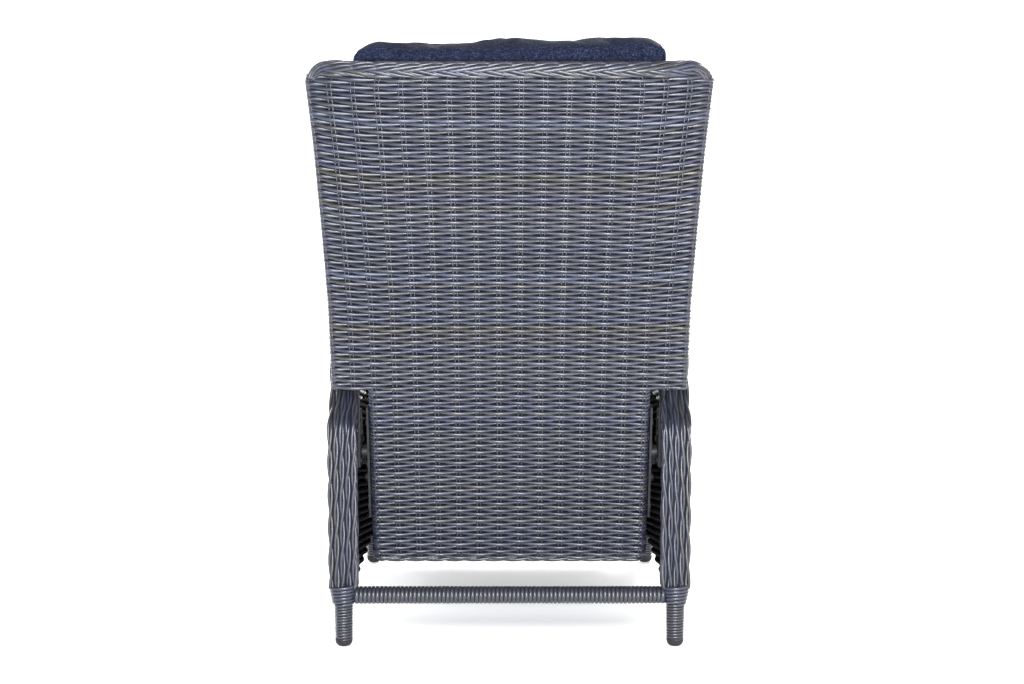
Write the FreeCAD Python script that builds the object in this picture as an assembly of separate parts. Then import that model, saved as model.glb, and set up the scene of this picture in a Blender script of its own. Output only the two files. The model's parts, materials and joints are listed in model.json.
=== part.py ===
import FreeCAD, Part
import math
import os

V = FreeCAD.Vector

# Everything is in millimetres. X runs across the chair, +Y points to its back, Z is up.

# Recline of the back and the two hinge axes, both parallel to X.
LEAN_DEG = 12.0
BACK_Y = 200.0
BACK_Z = 365.0
FOOT_Y = -399.0
FOOT_Z = 332.0

# The back is drawn flat in its own frame: x across, w rearwards, v up the slope.
BACK_ORIGIN_Y = 260.0
BACK_ORIGIN_Z = 480.0
PANEL_FRONT = 4.0
PANEL_REAR = 32.0
PANEL_TOP = 604.0
RIM_V = 619.0
RIM_W = 18.0
RIM_R = 15.0
RIM_END_X = 354.0
WING_BOW = 25.0
WING_START = 180.0
UPPER_HALF = [(0.0, 334.0), (184.0, 337.0), (322.0, 345.0), (459.0, 354.0), (616.0, 368.0)]
LOWER_HALF = 266.0
LOWER_LENGTH = 328.0

# Arms, posts and legs.
POST_IN = 289.0
POST_OUT = 347.0
SIDE_IN = 292.0
SIDE_OUT = 344.0
ARM_IN = 285.0
ARM_OUT = 350.0
POST_BASE = 116.0
ARM_BASE = 600.0
LEG_X = 318.0
FRONT_LEG_Y = -400.0
REAR_LEG_Y = 270.0
LEG_R = 18.5
CAP_H = 14.0
COLLAR_Z = 83.0
STRETCHER_R = 17.0
STRETCHER_Z = 99.0
RAIL_R = 14.0

# Seat.
SEAT_TOP = 360.0
SEAT_RAIL_IN = 267.0
SEAT_REAR_Y = 165.0
SEAT_FRONT_Y = -380.0
CUSHION_TOP = 448.0

# Linkage: crank pin on the back, crank pin on the footrest, and the rod between them.
BACK_CRANK = 50.0
BACK_CRANK_DEG = 22.5
FOOT_CRANK = 30.0
FOOT_CRANK_DEG = 37.5
ROD_DY = -599.0
ROD_DZ = -11.644
PIN_R = 4.0
FIT = 0.05
LOOSE_ROD_R = 5.6

# Gas spring between the seat's cross tube and the back's clevis.
SPRING_Y = -75.0
SPRING_Z = 308.0
SPRING_LEN = 279.38
SPRING_DEG = 1.02
CLEVIS_Y = 205.0
CLEVIS_Z = 315.0
LOOSE_EYE_R = 6.4

# Release lever on the inner face of one arm.
LEVER_Y = -210.0
LEVER_Z = 520.0

SHAPES = {}


def keep(name, shape):
    SHAPES[name] = shape


def box(x0, x1, y0, y1, z0, z1):
    return Part.makeBox(x1 - x0, y1 - y0, z1 - z0, V(x0, y0, z0))


def rod_x(x0, x1, y, z, radius):
    return Part.makeCylinder(radius, x1 - x0, V(x0, y, z), V(1, 0, 0))


def slab(points, x0, x1):
    corners = [V(x0, y, z) for y, z in points]
    face = Part.Face(Part.makePolygon(corners + corners[:1]))
    return face.extrude(V(x1 - x0, 0, 0))


def mirrored(shape):
    return shape.mirror(V(0, 0, 0), V(1, 0, 0))


def keep_pair(name, shape):
    keep(name + "_left", shape)
    keep(name + "_right", mirrored(shape))


def rounded(shape, radius, axis):
    edges = []
    for edge in shape.Edges:
        ends = edge.Vertexes
        if len(ends) == 2:
            run = ends[1].Point.sub(ends[0].Point)
            if abs(run.dot(axis)) > 0.999 * run.Length:
                edges.append(edge)
    return shape.makeFillet(radius, edges)


def lean(shape):
    tilted = shape.copy()
    tilted.rotate(V(0, 0, 0), V(1, 0, 0), -LEAN_DEG)
    tilted.translate(V(0, BACK_ORIGIN_Y, BACK_ORIGIN_Z))
    return tilted


def lean_point(w, v):
    a = math.radians(LEAN_DEG)
    y = BACK_ORIGIN_Y + w * math.cos(a) + v * math.sin(a)
    z = BACK_ORIGIN_Z - w * math.sin(a) + v * math.cos(a)
    return y, z


def bow(x, v):
    over = max(0.0, abs(x) - WING_START) / (RIM_END_X - WING_START)
    return WING_BOW * over * over * v / RIM_V


# ---------------------------------------------------------------- back

def panel_section(v, half):
    xs = [half * (i / 8.0 - 1.0) for i in range(17)]
    front = [V(x, PANEL_FRONT - bow(x, v), v) for x in xs]
    rear = [V(x, PANEL_REAR - bow(x, v), v) for x in xs]
    near = Part.BSplineCurve()
    near.interpolate(front)
    far = Part.BSplineCurve()
    far.interpolate(rear)
    right = Part.makeLine(front[-1], rear[-1])
    left = Part.makeLine(rear[0], front[0])
    return Part.Wire([near.toShape(), right, far.toShape(), left])


def rim_path():
    pts = []
    turn = 30.0
    side = RIM_END_X
    pts.append((side, RIM_V - turn - 14.0))
    for i in range(5):
        a = math.radians(22.5 * i)
        pts.append((side - turn + turn * math.cos(a), RIM_V - turn + turn * math.sin(a)))
    for i in range(1, 6):
        pts.append(((side - turn) * (6 - i) / 6.0, RIM_V))
    pts = pts + [(0.0, RIM_V)] + [(-x, v) for x, v in reversed(pts)]
    curve = Part.BSplineCurve()
    curve.interpolate([V(x, RIM_W - bow(x, v), v) for x, v in pts])
    return curve


def rim_solid():
    curve = rim_path()
    start = curve.value(curve.FirstParameter)
    heading = curve.tangent(curve.FirstParameter)[0]
    ring = Part.Wire(Part.makeCircle(RIM_R, start, heading))
    return Part.Wire(curve.toShape()).makePipeShell([ring], True, False)


def upper_panel(rim):
    block = Part.makeLoft([panel_section(v, half) for v, half in UPPER_HALF], True, False)
    shoulder = RIM_V - 44.0
    top = RIM_V - 4.0
    outline = [(-400, -1), (400, -1), (400, shoulder), (RIM_END_X, shoulder), (RIM_END_X, top - 24)]
    outline += [(RIM_END_X - 24, top), (24 - RIM_END_X, top), (-RIM_END_X, top - 24)]
    outline += [(-RIM_END_X, shoulder), (-400, shoulder)]
    corners = [V(x, -60, v) for x, v in outline]
    mask = Part.Face(Part.makePolygon(corners + corners[:1])).extrude(V(0, 140, 0))
    return block.common(mask).cut(rim)


def lower_panel():
    plate = box(-LOWER_HALF, LOWER_HALF, PANEL_FRONT, PANEL_REAR, -LOWER_LENGTH, 0)
    corners = []
    for edge in plate.Edges:
        mid = edge.valueAt((edge.FirstParameter + edge.LastParameter) / 2.0)
        if abs(edge.Length - (PANEL_REAR - PANEL_FRONT)) < 0.01 and mid.z < -LOWER_LENGTH + 1:
            corners.append(edge)
    return plate.makeFillet(18.0, corners)


def back_cushion(panel, rim):
    low = [V(-266, -82, -30), V(266, -82, -30), V(266, 3.5, -30), V(-266, 3.5, -30)]
    high = [V(-286, -82, 655), V(286, -82, 655), V(286, 3.5, 655), V(-286, 3.5, 655)]
    wires = [Part.makePolygon(ring + ring[:1]) for ring in (low, high)]
    pad = Part.makeLoft(wires, True, True)
    front = [e for e in pad.Edges if max(p.Point.y for p in e.Vertexes) < -80]
    pad = pad.makeFillet(24.0, front)
    return pad.cut(panel).cut(rim)


def back_plate():
    plate = slab([lean_point(w, v) for w, v in ((6, -235), (30, -235), (30, -12), (6, -12))], 266, 270)
    tab = slab([(182, 375), (200, 389), (252, 400), (236, 300), (214, 304), (186, 346)], 266, 270)
    plate = plate.fuse(tab).fuse(rod_x(266, 270, BACK_Y, BACK_Z, 22))
    pin_y, pin_z = back_pin_centre()
    plate = plate.fuse(rod_x(266, 270, pin_y, pin_z, 12))
    plate = plate.fuse(rod_x(270, 277.5, pin_y, pin_z, PIN_R))
    plate = plate.fuse(rod_x(275.6, 277.5, pin_y, pin_z, 7.5))
    for v in (-215, -130, -45):
        y, z = lean_point(18, v)
        plate = plate.fuse(rod_x(270, 272, y, z, 6))
    return plate.cut(rod_x(265, 271, BACK_Y, BACK_Z, 6 + FIT)).removeSplitter()


def back_pin_centre():
    a = math.radians(BACK_CRANK_DEG)
    return BACK_Y + BACK_CRANK * math.sin(a), BACK_Z - BACK_CRANK * math.cos(a)


def foot_pin_centre():
    a = math.radians(FOOT_CRANK_DEG)
    return FOOT_Y + FOOT_CRANK * math.sin(a), FOOT_Z - FOOT_CRANK * math.cos(a)


def spring_clevis():
    clevis = box(-22, 22, 0, PANEL_FRONT, -198, -148)
    for x0, x1 in ((-15, -12), (12, 15)):
        clevis = clevis.fuse(box(x0, x1, -29, 0, -185, -161))
    clevis = lean(clevis)
    return clevis.fuse(rod_x(-17, 17, CLEVIS_Y, CLEVIS_Z, PIN_R)).removeSplitter()


def build_back():
    rim = rim_solid()
    panel = upper_panel(rim)
    keep("back_rim", lean(rim))
    keep("back_upper_panel", lean(panel))
    keep("back_lower_panel", lean(lower_panel()))
    keep("back_cushion", lean(back_cushion(panel, rim)))
    keep_pair("back_hinge_plate", back_plate())
    keep("gas_spring_clevis", spring_clevis())


# ---------------------------------------------------------------- arms and legs

def rear_post():
    outer = Part.BSplineCurve()
    outer.interpolate([V(0, y, z) for y, z in
                       ((290, 405), (286, 430), (268, 449), (245, 466), (230, 495), (219, 545), (203, 600))])
    inner = Part.BSplineCurve()
    inner.interpolate([V(0, y, z) for y, z in
                       ((163, 600), (180, 545), (194, 490), (212, 452), (234, 430), (247, 412), (250, 390))])
    edges = [Part.makeLine(V(0, 290, POST_BASE), V(0, 290, 405)), outer.toShape()]
    edges += [Part.makeLine(V(0, 203, 600), V(0, 163, 600)), inner.toShape()]
    edges += [Part.makeLine(V(0, 250, 390), V(0, 250, POST_BASE))]
    edges += [Part.makeLine(V(0, 250, POST_BASE), V(0, 290, POST_BASE))]
    band = Part.Face(Part.Wire(edges)).extrude(V(POST_OUT - POST_IN, 0, 0))
    band.translate(V(POST_IN, 0, 0))
    return band


def arm_side(post):
    edge = [(-380, 130), (262, 130), (262, 405), (240, 445), (212, 480), (200, 545), (180, 600), (-380, 600)]
    return slab(edge, SIDE_IN, SIDE_OUT).cut(post)


def arm_rest():
    edge = [(-424, 600), (207, 600), (204, 618), (185, 634), (60, 646), (-200, 652)]
    edge += [(-390, 650), (-414, 640), (-424, 622)]
    rest = slab(edge, ARM_IN, ARM_OUT)
    upper = []
    for e in rest.Edges:
        flat = abs(e.Vertexes[0].Point.x - e.Vertexes[1].Point.x) < 0.01
        high = min(p.Point.z for p in e.Vertexes) > 620
        if flat and high:
            upper.append(e)
    return rest.makeFillet(9.0, upper)


def collar(y):
    return Part.makeCone(21, 28, POST_BASE - COLLAR_Z, V(LEG_X, y, COLLAR_Z))


def leg(y):
    return Part.makeCylinder(LEG_R, COLLAR_Z - CAP_H, V(LEG_X, y, CAP_H))


def foot_cap(y):
    cap = Part.makeCylinder(19.5, CAP_H, V(LEG_X, y, 0))
    low = [e for e in cap.Edges if e.BoundBox.ZMax < 0.01]
    return cap.makeFillet(5.0, low)


def build_arms():
    post = rear_post()
    keep_pair("rear_post", post)
    keep_pair("front_post", box(POST_IN, POST_OUT, -420, -380, POST_BASE, ARM_BASE))
    keep_pair("arm_side", arm_side(post))
    keep_pair("arm_rest", arm_rest())
    front = collar(FRONT_LEG_Y)
    rear = collar(REAR_LEG_Y)
    for name, y, shape in (("front", FRONT_LEG_Y, front), ("rear", REAR_LEG_Y, rear)):
        keep_pair(name + "_collar", shape)
        keep_pair(name + "_leg", leg(y))
        keep_pair(name + "_foot", foot_cap(y))
    rail = Part.makeCylinder(RAIL_R, 630, V(LEG_X, -380, POST_BASE), V(0, 1, 0))
    rail = rail.cut(front).cut(rear)
    keep_pair("side_rail", rail)
    cross = rod_x(-LEG_X, LEG_X, -345, POST_BASE, RAIL_R)
    keep("front_stretcher", cross.cut(rail).cut(mirrored(rail)))
    back_bar = rod_x(-300, 300, REAR_LEG_Y, STRETCHER_Z, STRETCHER_R)
    keep("rear_stretcher", back_bar.cut(rear).cut(mirrored(rear)))


# ---------------------------------------------------------------- seat

def seat_cushion():
    pad = box(-281, 281, -392, 168, SEAT_TOP, CUSHION_TOP)
    return pad.makeFillet(22.0, pad.Edges)


def spring_bracket():
    bracket = box(-20, 20, -87, -63, 331, 334)
    for x0, x1 in ((-15, -12), (12, 15)):
        bracket = bracket.fuse(box(x0, x1, -87, -63, 297, 331))
    return bracket.fuse(rod_x(-17, 17, SPRING_Y, SPRING_Z, PIN_R)).removeSplitter()


def mount_plate(post):
    plate = slab([(174, 341), (240, 341), (240, 452), (206, 452), (174, 400)], 286, 292)
    for y, z in ((226, 437), (216, 404), (186, 388), (226, 352)):
        plate = plate.fuse(rod_x(283.5, 286, y, z, 6))
    return plate.cut(rod_x(285, 293, BACK_Y, BACK_Z, 8)).cut(post).removeSplitter()


def back_pin():
    pin = rod_x(262, 292, BACK_Y, BACK_Z, 6)
    pin = pin.fuse(rod_x(262, 265.7, BACK_Y, BACK_Z, 11))
    pin = pin.fuse(rod_x(270.3, 286, BACK_Y, BACK_Z, 12))
    return pin.fuse(rod_x(286, 292, BACK_Y, BACK_Z, 8)).removeSplitter()


def foot_pin():
    pin = rod_x(256, 289, FOOT_Y, FOOT_Z, 5)
    return pin.fuse(rod_x(270.3, 289, FOOT_Y, FOOT_Z, 9)).removeSplitter()


def build_seat():
    keep_pair("seat_rail", box(SEAT_RAIL_IN, SIDE_IN, -378, SEAT_REAR_Y, 335, SEAT_TOP))
    keep("seat_front_tube", box(-SEAT_RAIL_IN, SEAT_RAIL_IN, -378, -356, 335, SEAT_TOP))
    keep("seat_rear_tube", box(-SEAT_RAIL_IN, SEAT_RAIL_IN, 143, SEAT_REAR_Y, 342, SEAT_TOP))
    keep("seat_spring_tube", box(-SEAT_RAIL_IN, SEAT_RAIL_IN, SPRING_Y - 10, SPRING_Y + 10, 334, 346))
    keep("seat_cross_tube", box(-SEAT_RAIL_IN, SEAT_RAIL_IN, 45, 65, 334, 346))
    keep("gas_spring_bracket", spring_bracket())
    keep("seat_deck", box(-SEAT_RAIL_IN, SEAT_RAIL_IN, -356, 143, 346, SEAT_TOP))
    keep("seat_cushion", seat_cushion())
    keep_pair("arm_hinge_plate", mount_plate(rear_post()))
    keep_pair("back_pin", back_pin())
    keep_pair("footrest_pin", foot_pin())


# ---------------------------------------------------------------- footrest, rods, spring, lever

def footrest_panel():
    panel = box(-262, 262, FOOT_Y - 12, FOOT_Y + 12, 93, FOOT_Z)
    panel = panel.fuse(rod_x(-262, 262, FOOT_Y, FOOT_Z, 12))
    edge = rod_x(-262, 262, FOOT_Y, 82, 13)
    bore = rod_x(255, 263, FOOT_Y, FOOT_Z, 5 + FIT)
    panel = panel.cut(edge).cut(bore).cut(mirrored(bore)).removeSplitter()
    return panel, edge


def footrest_tab():
    y, z = foot_pin_centre()
    arm = slab([(FOOT_Y - 12, FOOT_Z), (FOOT_Y + 12, FOOT_Z), (y + 8, z), (y - 6, z - 9),
                (FOOT_Y - 9, 292), (FOOT_Y - 12, 300)], 262.2, 270)
    tab = arm.fuse(rod_x(262.2, 270, FOOT_Y, FOOT_Z, 12)).fuse(rod_x(262.2, 270, y, z, 10))
    tab = tab.fuse(box(262.2, 270, FOOT_Y - 9, FOOT_Y + 9, 215, 305))
    tab = tab.fuse(rod_x(270, 277.5, y, z, PIN_R)).fuse(rod_x(275.6, 277.5, y, z, 9))
    return tab.cut(rod_x(262, 271, FOOT_Y, FOOT_Z, 5 + FIT)).removeSplitter()


def push_rod():
    y0, z0 = back_pin_centre()
    y1 = y0 + ROD_DY
    z1 = z0 + ROD_DZ
    bar = slab([(y0, z0 + 6), (y1, z1 + 6), (y1, z1 - 6), (y0, z0 - 6)], 271, 275)
    bar = bar.fuse(rod_x(271, 275, y0, z0, 9)).fuse(rod_x(271, 275, y1, z1, 10.5))
    bar = bar.cut(rod_x(270, 276, y0, z0, PIN_R + FIT))
    return bar.cut(rod_x(270, 276, y1, z1, LOOSE_ROD_R)).removeSplitter()


def along_spring(distance):
    a = math.radians(SPRING_DEG)
    return V(0, SPRING_Y + distance * math.cos(a), SPRING_Z + distance * math.sin(a))


def spring_part(start, length, radius):
    heading = along_spring(1.0).sub(along_spring(0.0))
    return Part.makeCylinder(radius, length, along_spring(start), heading)


def gas_spring():
    barrel = rod_x(-11, 11, SPRING_Y, SPRING_Z, 9).fuse(spring_part(5, 160, 11))
    barrel = barrel.cut(rod_x(-12, 12, SPRING_Y, SPRING_Z, PIN_R + FIT))
    barrel = barrel.cut(spring_part(74, 100, 4.5 + FIT))
    far = along_spring(SPRING_LEN)
    ram = spring_part(116, SPRING_LEN - 116, 4.5).fuse(rod_x(-10, 10, far.y, far.z, 10.5))
    ram = ram.cut(rod_x(-11, 11, far.y, far.z, LOOSE_EYE_R))
    return barrel.removeSplitter(), ram.removeSplitter()


def lever():
    mount = rod_x(-292, -286, LEVER_Y, LEVER_Z, 12)
    mount = mount.fuse(rod_x(-286, -276, LEVER_Y, LEVER_Z, 4))
    mount = mount.fuse(rod_x(-278, -276, LEVER_Y, LEVER_Z, 7)).removeSplitter()
    blade = rod_x(-285.7, -278.3, LEVER_Y, LEVER_Z, 11)
    edge = [(LEVER_Y, LEVER_Z + 7), (LEVER_Y - 62, LEVER_Z + 26)]
    edge += [(LEVER_Y - 66, LEVER_Z + 16), (LEVER_Y, LEVER_Z - 7)]
    blade = blade.fuse(slab(edge, -285, -279))
    blade = blade.cut(rod_x(-287, -277, LEVER_Y, LEVER_Z, 4 + FIT)).removeSplitter()
    knob = rod_x(-288, -272, LEVER_Y - 70, LEVER_Z + 22, 9)
    return mount, blade.cut(knob), knob


def build_moving():
    panel, edge = footrest_panel()
    keep("footrest_panel", panel)
    keep("footrest_edge", edge)
    keep_pair("footrest_tab", footrest_tab())
    keep_pair("push_rod", push_rod())
    barrel, ram = gas_spring()
    keep("gas_spring_barrel", barrel)
    keep("gas_spring_ram", ram)
    mount, blade, knob = lever()
    keep("lever_mount", mount)
    keep("release_lever", blade)
    keep("lever_knob", knob)


def main():
    build_back()
    build_arms()
    build_seat()
    build_moving()
    os.makedirs("parts", exist_ok=True)
    for name, shape in SHAPES.items():
        solid = shape.Solids[0] if len(shape.Solids) == 1 else shape
        solid.exportStep("parts/" + name + ".step")


main()
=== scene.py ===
"""Looks of the reclining wicker chair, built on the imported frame. Sizes are in metres."""
import json
import math

import bpy
import numpy as np
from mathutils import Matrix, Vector
from mathutils.bvhtree import BVHTree


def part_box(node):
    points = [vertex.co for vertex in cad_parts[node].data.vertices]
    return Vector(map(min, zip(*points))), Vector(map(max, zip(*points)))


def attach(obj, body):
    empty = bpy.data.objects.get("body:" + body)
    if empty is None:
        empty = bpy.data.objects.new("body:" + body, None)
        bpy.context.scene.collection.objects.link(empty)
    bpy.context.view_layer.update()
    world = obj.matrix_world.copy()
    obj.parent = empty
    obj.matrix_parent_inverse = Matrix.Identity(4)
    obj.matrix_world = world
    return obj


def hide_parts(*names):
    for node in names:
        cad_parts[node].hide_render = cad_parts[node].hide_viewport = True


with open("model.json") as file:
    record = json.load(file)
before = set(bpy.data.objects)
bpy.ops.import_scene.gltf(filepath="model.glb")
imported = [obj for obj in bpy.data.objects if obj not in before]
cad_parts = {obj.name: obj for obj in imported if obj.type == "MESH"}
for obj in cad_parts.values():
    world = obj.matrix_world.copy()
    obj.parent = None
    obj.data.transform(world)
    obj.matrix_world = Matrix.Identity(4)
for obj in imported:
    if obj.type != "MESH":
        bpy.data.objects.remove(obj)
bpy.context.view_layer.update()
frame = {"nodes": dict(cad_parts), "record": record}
RNG = np.random.default_rng(11)

# The back lies in its own frame: x across, w rearwards, v up the slope.
LEAN = math.radians(12.0)
BACK_Y = 0.260
BACK_Z = 0.480
BACK_MID = 0.018

# Strand and weave. A strand is oval: half its thickness, then half its width.
ROW = 0.0071
STRAND_OUT = 0.0025
STRAND_SIDE = 0.0037
STRAND_SIDES = 6
SIZE_SPREAD = 0.05
WAVE = 0.0038
DRIFT = 0.0004
STAKE_R = 0.0018
STAKE_SIDES = 5
POINTS_PER_PITCH = 6


# ---- mesh helpers

class Bundle:
    """Collects many strands into one mesh."""

    def __init__(self):
        self.verts = []
        self.faces = []
        self.count = 0

    def strand(self, path, normal, out=STRAND_OUT, side=STRAND_SIDE, sides=STRAND_SIDES, closed=False):
        """Adds an oval strand along a path: out is its half size along normal, side the one across."""
        path = np.asarray(path, float)
        if closed:
            along = np.roll(path, -1, 0) - np.roll(path, 1, 0)
        else:
            along = np.gradient(path, axis=0)
        along /= np.linalg.norm(along, axis=1, keepdims=True) + 1e-12
        across = np.cross(along, normal)
        across /= np.linalg.norm(across, axis=1, keepdims=True) + 1e-12
        up = np.cross(across, along)
        angle = np.arange(sides) * 2.0 * math.pi / sides
        ring = path[:, None] + up[:, None] * (out * np.cos(angle))[None, :, None]
        ring = ring + across[:, None] * (side * np.sin(angle))[None, :, None]
        n = len(path)
        self.verts.append(ring.reshape(-1, 3))
        i = np.arange(n if closed else n - 1)[:, None]
        k = np.arange(sides)[None, :]
        j = (i + 1) % n
        k2 = (k + 1) % sides
        quad = np.stack([i * sides + k, j * sides + k, j * sides + k2, i * sides + k2], -1)
        self.faces.append(quad.reshape(-1, 4) + self.count)
        self.count += n * sides

    def sheet(self, grid, wrap=False):
        """Adds a grid of points, rows by columns, as quads."""
        rows, cols = grid.shape[:2]
        self.verts.append(grid.reshape(-1, 3))
        i = np.arange(rows - 1)[:, None]
        k = np.arange(cols if wrap else cols - 1)[None, :]
        k2 = (k + 1) % cols
        quad = np.stack([i * cols + k, i * cols + k2, (i + 1) * cols + k2, (i + 1) * cols + k], -1)
        self.faces.append(quad.reshape(-1, 4) + self.count)
        self.count += rows * cols

    def build(self, name, material, body, hides=()):
        verts = np.concatenate(self.verts).astype(np.float32)
        faces = np.concatenate(self.faces).astype(np.int32)
        mesh = bpy.data.meshes.new(name)
        mesh.vertices.add(len(verts))
        mesh.vertices.foreach_set("co", verts.ravel())
        mesh.loops.add(faces.size)
        mesh.loops.foreach_set("vertex_index", faces.ravel())
        mesh.polygons.add(len(faces))
        mesh.polygons.foreach_set("loop_start", np.arange(len(faces), dtype=np.int32) * 4)
        mesh.update(calc_edges=True)
        mesh.polygons.foreach_set("use_smooth", np.ones(len(faces), bool))
        mesh.materials.append(material)
        piece = bpy.data.objects.new(name, mesh)
        bpy.context.scene.collection.objects.link(piece)
        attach(piece, body)
        if hides:
            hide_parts(*hides)
        return piece


def normals_of(place, u, v, flip):
    """Unit normals of the surface place(u, v). flip of 1 or -1 picks the side."""
    step = 1e-4
    du = place(u + step, v) - place(u - step, v)
    dv = place(u, v + step) - place(u, v - step)
    n = np.cross(du, dv) * flip
    return n / (np.linalg.norm(n, axis=-1, keepdims=True) + 1e-12)


def weave(bundle, place, rows, spans, pitch, flip=1.0, phase=0.0, per_pitch=POINTS_PER_PITCH, first=0,
          calm=None):
    """Lays one wavy strand per row over stakes one pitch apart.

    spans gives each row's two ends in u, first is 1 where the first row starts on the other side of
    its stakes, and calm(u) flattens the waves.
    """
    for j, v in enumerate(rows):
        low, high = spans[j]
        n = max(4, int(round((high - low) / pitch * per_pitch)) + 1)
        u = np.linspace(low, high, n)
        drift = RNG.uniform(0, 6.28)
        vv = v + DRIFT * np.sin(u / pitch * 1.7 + drift)
        wave = np.sin(math.pi * (u / pitch + phase)) * (1 if (j + first) % 2 else -1)
        if calm is not None:
            wave = wave * calm(u)
        normal = normals_of(place, u, vv, flip)
        size = 1.0 + RNG.uniform(-SIZE_SPREAD, SIZE_SPREAD)
        path = place(u, vv) + normal * (WAVE * wave)[:, None]
        bundle.strand(path, normal, STRAND_OUT * size, STRAND_SIDE * size)


def stakes(bundle, place, positions, low, high, gap, flip=1.0, steps=24):
    """Lays a pair of straight thin stakes at each position. low and high may be functions of u."""
    for u0 in positions:
        for side in (-gap, gap):
            a = low(u0) if callable(low) else low
            b = high(u0) if callable(high) else high
            v = np.linspace(a, b, steps)
            u = np.full(steps, u0 + side)
            bundle.strand(place(u, v), normals_of(place, u, v, flip), STAKE_R, STAKE_R, STAKE_SIDES)


def run_along(points):
    """Distance from the first point to each point, along the line."""
    return np.concatenate([[0.0], np.cumsum(np.linalg.norm(np.diff(points, axis=0), axis=1))])


def spread(points, n, endpoint=True):
    """Spreads n points evenly along a line."""
    points = np.asarray(points, float)
    run = run_along(points)
    fine = np.linspace(0, run[-1], n, endpoint=endpoint)
    return np.stack([np.interp(fine, run, points[:, k]) for k in range(points.shape[1])], -1)


def lathe(outline, n):
    """Rings of n points about the z axis, from an outline of radius and z."""
    turn = np.arange(n) * 2 * math.pi / n
    rings = [np.column_stack([r * np.cos(turn), r * np.sin(turn), np.full(n, z)]) for r, z in outline]
    return np.array(rings)


def pair(u, v):
    """Both as float arrays of one shape."""
    return np.broadcast_arrays(np.asarray(u, float), np.asarray(v, float))


def rope(bundle, path, normal, twist=0.125, turn=0.0030, thick=0.0029, start=0.0, sign=1.0):
    """Two strands twisted round each other along a path. twist is the length of one whole turn."""
    path = np.asarray(path, float)
    along = np.gradient(path, axis=0)
    run = run_along(path)
    along /= np.linalg.norm(along, axis=1, keepdims=True)
    across = np.cross(along, normal)
    across /= np.linalg.norm(across, axis=1, keepdims=True)
    up = np.cross(across, along)
    for k in (0, 1):
        a = sign * run / twist * 2 * math.pi + k * math.pi + start
        centre = path + up * (turn * 0.8 * np.cos(a))[:, None] + across * (turn * np.sin(a))[:, None]
        bundle.strand(centre, up, thick * 0.92, thick * 1.06)


def lean(x, w, v):
    """From the back's own frame to the object's."""
    x, w, v = np.broadcast_arrays(x, w, v)
    y = BACK_Y + w * math.cos(LEAN) + v * math.sin(LEAN)
    z = BACK_Z - w * math.sin(LEAN) + v * math.cos(LEAN)
    return np.stack([x, y, z], -1)


# ---- materials

def link(tree, a, b):
    tree.links.new(a, b)


def shader(name, rough, metal=0.0, sheen=0.0):
    mat = bpy.data.materials.new(name)
    mat.use_nodes = True
    tree = mat.node_tree
    bsdf = tree.nodes["Principled BSDF"]
    bsdf.inputs["Roughness"].default_value = rough
    bsdf.inputs["Metallic"].default_value = metal
    bsdf.inputs["Sheen Weight"].default_value = sheen
    return mat, tree, bsdf


def noise(tree, scale, detail=3.0, stretch=None):
    coords = tree.nodes.new("ShaderNodeTexCoord")
    tex = tree.nodes.new("ShaderNodeTexNoise")
    tex.inputs["Scale"].default_value = scale
    tex.inputs["Detail"].default_value = detail
    if stretch:
        mapping = tree.nodes.new("ShaderNodeMapping")
        mapping.inputs["Scale"].default_value = stretch
        link(tree, coords.outputs["Object"], mapping.inputs["Vector"])
        link(tree, mapping.outputs["Vector"], tex.inputs["Vector"])
    else:
        link(tree, coords.outputs["Object"], tex.inputs["Vector"])
    return tex


def ramp(tree, source, stops):
    node = tree.nodes.new("ShaderNodeValToRGB")
    while len(node.color_ramp.elements) < len(stops):
        node.color_ramp.elements.new(0.5)
    for element, (place, colour) in zip(node.color_ramp.elements, stops):
        element.position = place
        element.color = (*colour, 1.0)
    link(tree, source, node.inputs["Fac"])
    return node


def paint(tree, bsdf, source, stops):
    """Colours the surface by a ramp over a texture."""
    link(tree, ramp(tree, source, stops).outputs["Color"], bsdf.inputs["Base Color"])


def mix(tree, mode, factor, a, b):
    """Mixes two colours. Sockets 0, 6 and 7 are the factor and the two colours, and 2 is the result."""
    node = tree.nodes.new("ShaderNodeMix")
    node.data_type = "RGBA"
    node.blend_type = mode
    node.inputs[0].default_value = factor
    link(tree, a, node.inputs[6])
    link(tree, b, node.inputs[7])
    return node.outputs[2]


def bump(tree, bsdf, height, strength, distance):
    node = tree.nodes.new("ShaderNodeBump")
    node.inputs["Strength"].default_value = strength
    node.inputs["Distance"].default_value = distance
    link(tree, height, node.inputs["Height"])
    link(tree, node.outputs["Normal"], bsdf.inputs["Normal"])


def wicker(name, painted_shade_by, gloss, rough_low):
    """Round synthetic strand. Each strand takes one of several greys, by its own island. A first factor below
    1 darkens the whole colour as painted shade.
    """
    mat, tree, bsdf = shader(name, rough_low)
    bsdf.inputs["Specular IOR Level"].default_value = gloss
    island = tree.nodes.new("ShaderNodeNewGeometry")
    tones = ramp(tree, island.outputs["Random Per Island"], [
        (0.0, (0.009, 0.011, 0.024)), (0.22, (0.017, 0.020, 0.037)), (0.45, (0.028, 0.028, 0.032)),
        (0.65, (0.026, 0.030, 0.053)), (0.85, (0.029, 0.028, 0.023)), (1.0, (0.035, 0.041, 0.068))])
    mottle = noise(tree, 95.0, 4.0)
    low = 0.75 * painted_shade_by
    mottle_and_painted_shade = ramp(tree, mottle.outputs["Fac"], [(0.3, (low, low, low * 1.02)), (0.7, (painted_shade_by,) * 3)])
    colour = mix(tree, "MULTIPLY", 1.0, tones.outputs["Color"], mottle_and_painted_shade.outputs["Color"])
    link(tree, colour, bsdf.inputs["Base Color"])
    fine = noise(tree, 900.0, 2.0)
    rough = ramp(tree, fine.outputs["Fac"], [(0.3, (rough_low,) * 3), (0.7, (rough_low + 0.14,) * 3)])
    link(tree, rough.outputs["Color"], bsdf.inputs["Roughness"])
    bump(tree, bsdf, fine.outputs["Fac"], 0.25, 0.0003)
    return mat


# Near-black bluish sheets behind the weave and under windings: painted shade for the gaps between strands.
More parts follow.
